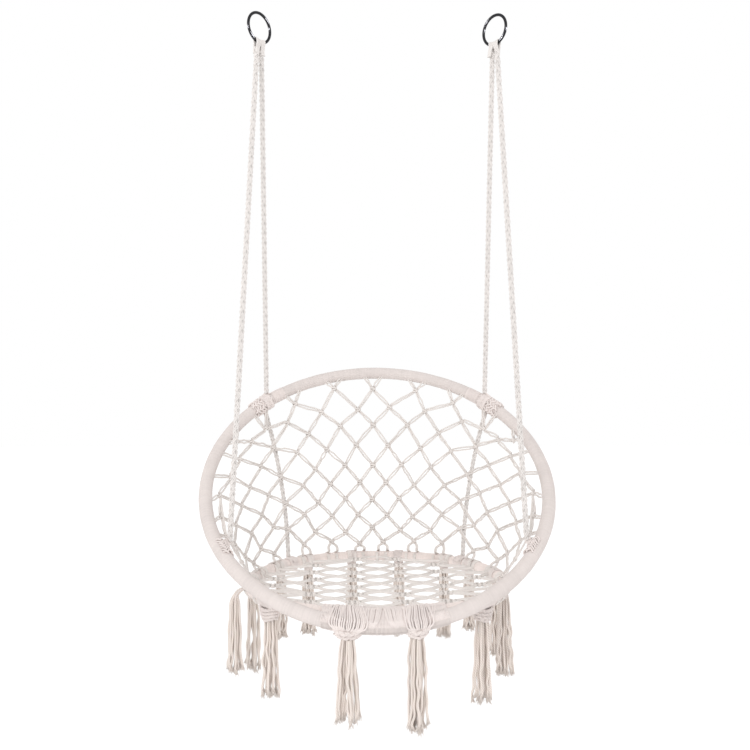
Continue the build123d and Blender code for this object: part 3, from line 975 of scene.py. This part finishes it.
def centre_knot(name):
    """A fan of cords over both tubes, gathered under the hoop into a wide plaited band above a tassel."""
    x0 = float(PIVOTS[f"{name}_tassel"][0])
    cords = Cords()
    wide = sum(KNOT_REACH[x0]) / 0.060
    count = round(20 * wide)
    for i in range(count):
        share = (i - (count - 1) / 2 + rng.uniform(-0.3, 0.3)) / ((count - 1) / 2)
        up = 0.0026 + (i % 3) * 0.0005 + rng.uniform(0, 0.0004)
        reach = share * KNOT_REACH[x0][0 if share < 0 else 1]
        round_out = 0.22 * reach + rng.normal(0, 0.0009)
        points = [seat.at_front(x0 + reach * 0.97, a, seat.tube + up) for a in (*UNDER_SEAT, 65)]
        points += [hoop.at_front(x0 + reach + round_out, 50, hoop.tube + up + 0.0006),
                   hoop.at_front(x0 + reach + round_out, 28, hoop.tube + up + 0.0014),
                   hoop.at_front(x0 + reach * 0.92 + round_out, 4, hoop.tube + up + 0.0016),
                   hoop.at_front(x0 + reach * 0.82, -16, hoop.tube + 0.0040),
                   hoop.at_front(x0 + reach * 0.60, -36, hoop.tube + 0.0010)]
        cords.add(smooth(points, 0.003), FAN_CORD / 2, sides=7)
    base = hoop.point(-90 + np.degrees(x0 / hoop.radius))
    for below, ahead, half, bow, size in ((-0.0130, -0.0165, 0.0290, 0.0100, 0.0112),
                                          (-0.0215, -0.0120, 0.0255, 0.0095, 0.0108),
                                          (-0.0150, 0.0050, 0.0240, 0.0060, 0.0110),
                                          (-0.0265, -0.0030, 0.0180, 0.0060, 0.0100)):
        band = [base + np.array((half * wide * t, ahead * (1 - 0.35 * t * t), below + bow * t * t))
                for t in np.linspace(-1, 1, 19)]
        braid(cords, np.array(band), size, 0.024, size * 0.27)
    share_between_rings(finish_piece(cords, f"{name}_knot_cords", lash_cotton, "backrest",
                                     [f"{name}_knot"], blend=FRONT_BLEND))


for name in SEAT_TASSELS:
    hitch(name, tassel_angle(name), name in WIDE_TASSELS)
for name in CENTRE_TASSELS:
    centre_knot(name)


# ---------------------------------------------------------------- tassels
def frayed_end(cords, line, reach):
    """A brush of eight fine hairs at the end of a strand."""
    tip, back = line[-1], line[-5]
    run = unit(tip - back)
    for f in range(8):
        a = f * 2 * pi / 8 + rng.uniform(0, 0.6)
        fan = np.array((cos(a), sin(a), 0.0))
        root = back + fan * 0.0014
        wide = rng.uniform(0.0018, 0.0048)
        long = reach * 0.07 + rng.uniform(-0.002, 0.006)
        hair = smooth([root, root + run * long * 0.5 + fan * wide * 0.35, root + run * long + fan * wide], 0.004)
        cords.add(hair, np.linspace(0.0012, 0.0005, len(hair)), sides=5)


def tassel(name):
    """A hanging bundle of cord ends: each wavers on its own way down and ends in a frayed brush."""
    body = f"{name}_tassel"
    pivot = PIVOTS[body]
    low, high = box(body)
    length = pivot[2] - low[2]
    central = name in CENTRE_TASSELS
    count = 18 if central else 15
    top = 0.013 if central else 0.010
    neck_radius = 0.0150 if central else 0.0110
    end_radius = (high[0] - low[0]) / 2 + (0.0015 if central else 0.003)
    squash = np.array((1.0, 0.8, 1.0)) if central else np.ones(3)
    outward = seat.outward(tassel_angle(name))
    golden = pi * (3 - sqrt(5))
    cords = Cords()
    for i in range(count):
        ring_share = sqrt((i + 0.5) / count)
        a = i * golden + rng.normal(0, 0.2)
        out = np.array((cos(a), sin(a), 0.0))
        reach = length * rng.uniform(0.92, 1.0)
        top_r = neck_radius * ring_share
        stray = 1.15 if rng.random() < 0.2 else 1.0
        low_r = (end_radius - 0.002) * ring_share * rng.uniform(0.85, 1.02) * stray
        low_a = a + rng.normal(0, 0.3)
        low_out = np.array((cos(low_a), sin(low_a), 0.0))
        points = [pivot + out * top_r * 0.8 * squash + Z_AXIS * top]
        for t in (0.06, 0.18, 0.31, 0.44, 0.57, 0.70, 0.82, 0.92, 1.0):
            sway = np.array((*rng.normal(0, 0.0015, 2), 0.0)) * min(1.0, 2.5 * t)
            r = top_r + (low_r - top_r) * t**0.8
            direction = out * (1 - t) + low_out * t
            points.append(pivot + direction * r * squash + sway - Z_AXIS * reach * t * 0.93)
        points = np.array(points)
        if name == ARCHED_TASSEL:
            points[0] = pivot + out * top_r * 0.5 + Z_AXIS * 0.006
            points = np.vstack([[pivot + out * top_r * 0.45 + Z_AXIS * z for z in (0.021, 0.017)], points])
            points += outward * np.interp(pivot[2] - points[:, 2], (-0.021, -0.017, -0.006, 0.006),
                                          (-0.008, 0.003, 0.012, 0.014))[:, None]
        line = smooth(points, 0.0035)
        share = np.linspace(0, 1, len(line))
        radius = 0.0020 + 0.0005 * np.clip(share * 4, 0, 1) - 0.0011 * np.clip((share - 0.93) / 0.07, 0, 1)
        cords.add(line, radius, sides=8)
        frayed_end(cords, line, reach)
    finish_piece(cords, f"{name}_tassel_strands", tassel_cotton, "backrest" if central else "seat",
                 [body], blend=(body, pivot + Z_AXIS * 0.008, pivot - Z_AXIS * 0.030))


for name in SEAT_TASSELS + CENTRE_TASSELS:
    tassel(name)


# ---------------------------------------------------------------- steel
for node, material, slot in (("left_hanging_ring", ring_steel, "ring_steel"),
                             ("right_hanging_ring", ring_steel, "ring_steel"),
                             ("hoop_steel_tube", tube_steel, "tube_steel"),
                             ("seat_steel_tube", tube_steel, "tube_steel")):
    obj = frame["nodes"][node]
    obj.data.materials.clear()
    obj.data.materials.append(material)


# ---------------------------------------------------------------- studio
scene = bpy.context.scene
FLOOR_SIDE, FLOOR_Z = 14, -2.25

floor_paint = NodeMaterial("studio_floor")
floor_paint.set(Base_Color=(0.93, 0.93, 0.93, 1), Roughness=0.95, Specular_IOR_Level=0.1,
                Emission_Color=(1, 1, 1, 1), Emission_Strength=0.15)
mesh = bpy.data.meshes.new("floor")
mesh.from_pydata([(x * FLOOR_SIDE, y * FLOOR_SIDE, FLOOR_Z) for x, y in ((-1, -1), (1, -1), (1, 1), (-1, 1))],
                 [], [(0, 1, 2, 3)])
mesh.materials.append(floor_paint.material)
floor = bpy.data.objects.new("floor", mesh)
scene.collection.objects.link(floor)

world = bpy.data.worlds.new("studio")
world.use_nodes = True
background = world.node_tree.nodes["Background"]
background.inputs["Color"].default_value = (1, 1, 1, 1)
background.inputs["Strength"].default_value = 1.0
scene.world = world
scene.view_settings.view_transform = "Standard"


def area_light(name, place, target, power, size):
    data = bpy.data.lights.new(name, "AREA")
    data.energy = power
    data.size = size
    data.color = (1, 1, 1)
    light = bpy.data.objects.new(name, data)
    light.location = place
    light.rotation_euler = (Vector(target) - Vector(place)).to_track_quat("-Z", "Y").to_euler()
    scene.collection.objects.link(light)
    return light


area_light("key", (-0.9, -3.1, 0.5), (0, 0, -1.0), 34, 1.5)
only_rings = bpy.data.collections.new("ring_lights_reach")
for _, word in SIDES:
    only_rings.objects.link(frame["nodes"][f"{word}_hanging_ring"])
for side, word in SIDES:
    strip = area_light(f"{word}_strip", (side * 1.9, -1.0, 0.0), (0, 0, -0.03), 120, 0.45)
    strip.light_linking.receiver_collection = only_rings

camera_data = bpy.data.cameras.new("camera")
camera_data.sensor_width = 36.0
camera_data.lens = 38.4
camera_data.shift_x = -2.5 / 750
camera = bpy.data.objects.new("camera", camera_data)
turned = radians(-1.2)
look = Vector((-sin(turned), cos(turned), 0.0))
camera.location = Vector((0.0, hoop.centre[1], -0.8255)) - look * 1.818
camera.rotation_euler = look.to_track_quat("-Z", "Y").to_euler()
scene.collection.objects.link(camera)
scene.camera = camera
